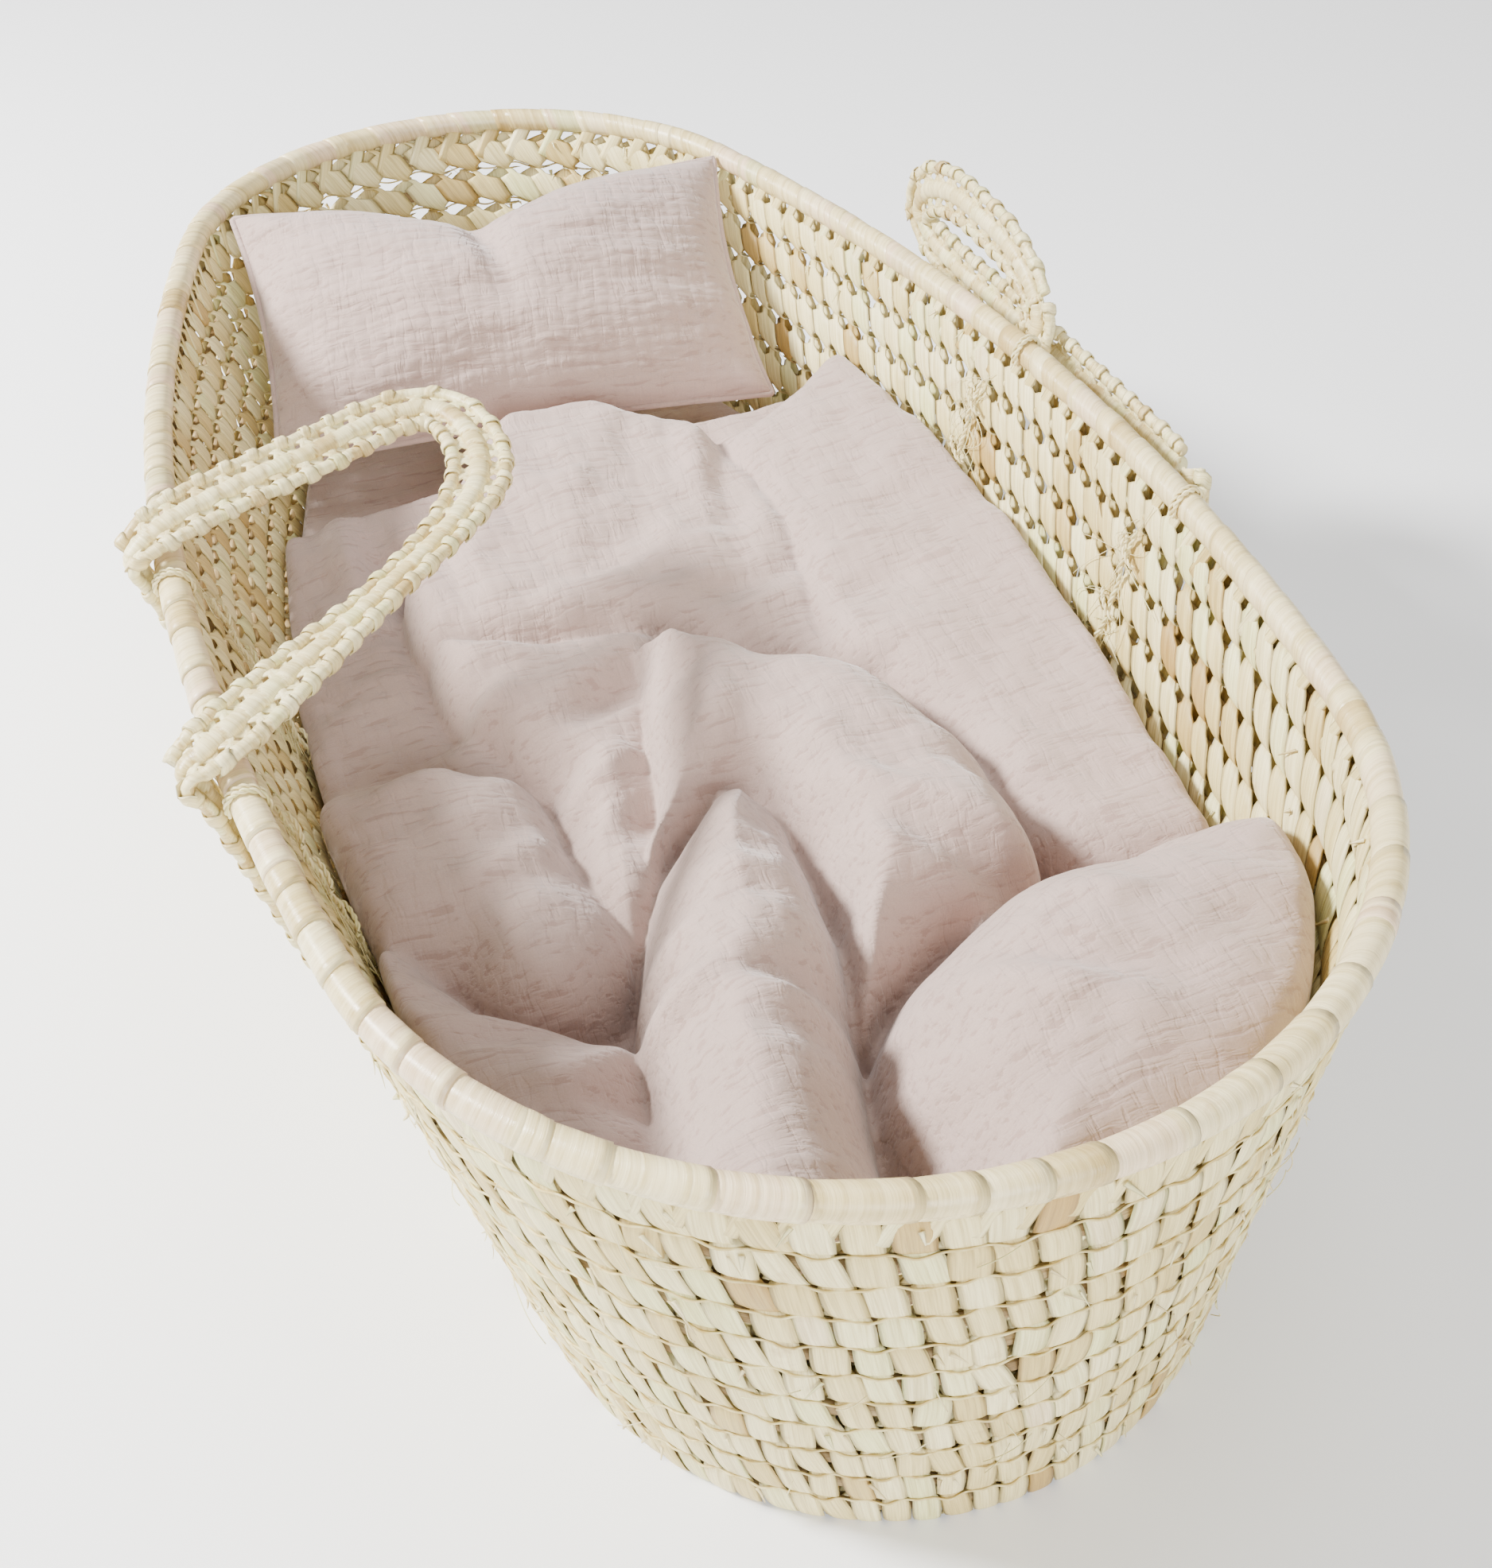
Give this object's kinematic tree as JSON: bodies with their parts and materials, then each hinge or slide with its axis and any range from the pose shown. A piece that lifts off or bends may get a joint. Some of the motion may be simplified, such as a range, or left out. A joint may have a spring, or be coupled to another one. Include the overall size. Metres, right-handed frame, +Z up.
{
  "type": "moses basket",
  "caption": "Oval moses basket of sewn palm-leaf coils with two rope-edged carrying straps that swing on the rim, a mattress, a crinkled muslin quilt and a pillow propped at the head end.",
  "frame": {"origin": "on the floor under the middle of the base", "axes": "+Y towards the head end, +X to the right-hand side seen from the foot, +Z up"},
  "size_m": [0.442, 0.812, 0.2456],
  "materials": {
    "palm_coil": "matte",
    "palm_wrap": "satin",
    "cane": "satin",
    "twine": "matte",
    "muslin": "matte",
    "foam": "matte",
    "wadding": "matte"
  },
  "bodies": {
    "basket": {"base_centre": "palm_coil", "base_coil_1": "palm_coil", "base_coil_2": "palm_coil", "base_coil_3": "palm_coil", "base_coil_4": "palm_coil", "wall_course_1": "palm_coil", "wall_course_2": "palm_coil", "wall_course_3": "palm_coil", "wall_course_4": "palm_coil", "wall_course_5": "palm_coil", "wall_course_6": "palm_coil", "wall_course_7": "palm_coil", "wall_course_8": "palm_coil", "wall_course_9": "palm_coil", "wall_course_10": "palm_coil", "wall_course_11": "palm_coil", "rim_core": "cane", "rim_wrap": "palm_wrap", "left_front_leg": "palm_wrap", "left_back_leg": "palm_wrap", "right_front_leg": "palm_wrap", "right_back_leg": "palm_wrap", "left_leg_lacing": "twine", "right_leg_lacing": "twine", "left_rim_ties": "twine", "right_rim_ties": "twine", "mattress_cover": "muslin", "mattress_foam": "foam", "quilt": "muslin"},
    "left_strap": {"left_strap_core": "palm_wrap", "left_strap_edges": "palm_wrap", "left_strap_plait": "palm_coil"},
    "right_strap": {"right_strap_core": "palm_wrap", "right_strap_edges": "palm_wrap", "right_strap_plait": "palm_coil"},
    "pillow": {"pillow_cover": "muslin", "pillow_filling": "wadding"}
  },
  "joints": [
    {"name": "left_strap_swing", "type": "hinge", "parent": "basket", "child": "left_strap", "pos_m": [-0.212, -0.031, 0.21], "axis": [0, 1, 0], "range_deg": [-205, 0]},
    {"name": "right_strap_swing", "type": "hinge", "parent": "basket", "child": "right_strap", "pos_m": [0.212, 0.016, 0.205], "axis": [0, -1, 0], "range_deg": [0, 66]},
    {"name": "pillow_lift", "type": "slide", "parent": "basket", "child": "pillow", "axis": [0, 0, 1], "range_m": [0, 0.25]}
  ]
}
